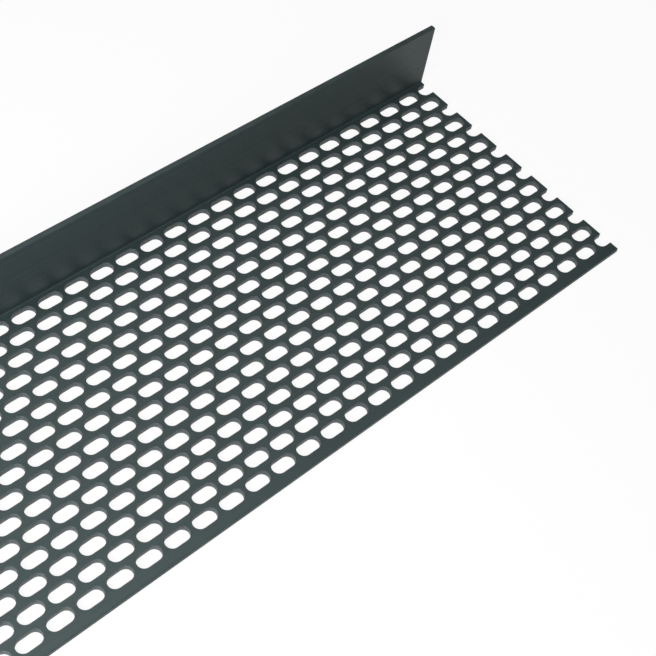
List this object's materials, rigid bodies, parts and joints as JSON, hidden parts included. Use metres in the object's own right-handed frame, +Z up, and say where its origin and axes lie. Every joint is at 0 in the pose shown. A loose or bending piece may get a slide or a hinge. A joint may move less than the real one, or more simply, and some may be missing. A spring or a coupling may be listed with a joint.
{
  "type": "vent strip",
  "caption": "Straight angle profile: a flat leg full of staggered slots that lets air through a gap and keeps vermin out, and a plain upright leg to fix it by.",
  "frame": {"origin": "middle of the strip's length and of the slotted leg's full width, on the leg's underside", "axes": "+X along the strip, +Y towards the back of the upright leg, +Z up along the upright leg"},
  "size_m": [0.246, 0.1, 0.028],
  "materials": {
    "strip": "satin"
  },
  "bodies": {
    "root": {"vent_strip": "strip"}
  },
  "joints": []
}
